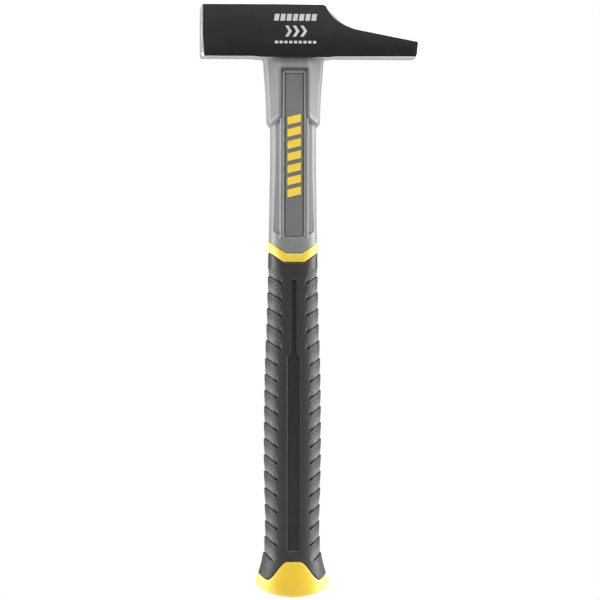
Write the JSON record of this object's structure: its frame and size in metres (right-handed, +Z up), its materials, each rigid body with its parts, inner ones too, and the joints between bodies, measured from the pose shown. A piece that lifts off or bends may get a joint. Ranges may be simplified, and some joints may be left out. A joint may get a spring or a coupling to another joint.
{
  "type": "joiner's hammer",
  "caption": "Joiner's hammer with a square face and a flat-bottomed cross pein, on a jacketed fibreglass handle with a soft grip and a flared butt cap.",
  "frame": {"origin": "on the handle's axis, in the plane of the head's underside", "axes": "+Z up along the handle towards the head, -X towards the striking face, +X towards the pein, -Y the front; the handle hangs to -Z"},
  "size_m": [0.1036, 0.029, 0.2805],
  "materials": {
    "painted_steel": "satin black paint on the cheeks, ground and polished steel on the top, underside, face and pein",
    "resin": "dark cured resin, flush with the top of the head",
    "fibreglass": "bare pultruded fibreglass, hidden inside the handle",
    "grey_plastic": "light grey moulded plastic with a fine satin texture",
    "inlay_plastic": "darker grey moulded plastic, matt",
    "yellow_mark": "raised yellow moulded marks, satin",
    "yellow_plastic": "bright yellow moulded plastic, satin",
    "black_rubber": "soft black moulded rubber with a scale pattern"
  },
  "bodies": {
    "root": {"head": "painted_steel", "eye_resin": "resin", "fibreglass_core": "fibreglass", "handle_jacket": "grey_plastic", "front_inlay": "inlay_plastic", "rear_inlay": "inlay_plastic", "front_mark_bars": "yellow_mark", "rear_mark_bars": "yellow_mark", "accent_band": "yellow_plastic", "grip_sleeve": "black_rubber", "butt_cap": "yellow_plastic"}
  },
  "joints": []
}
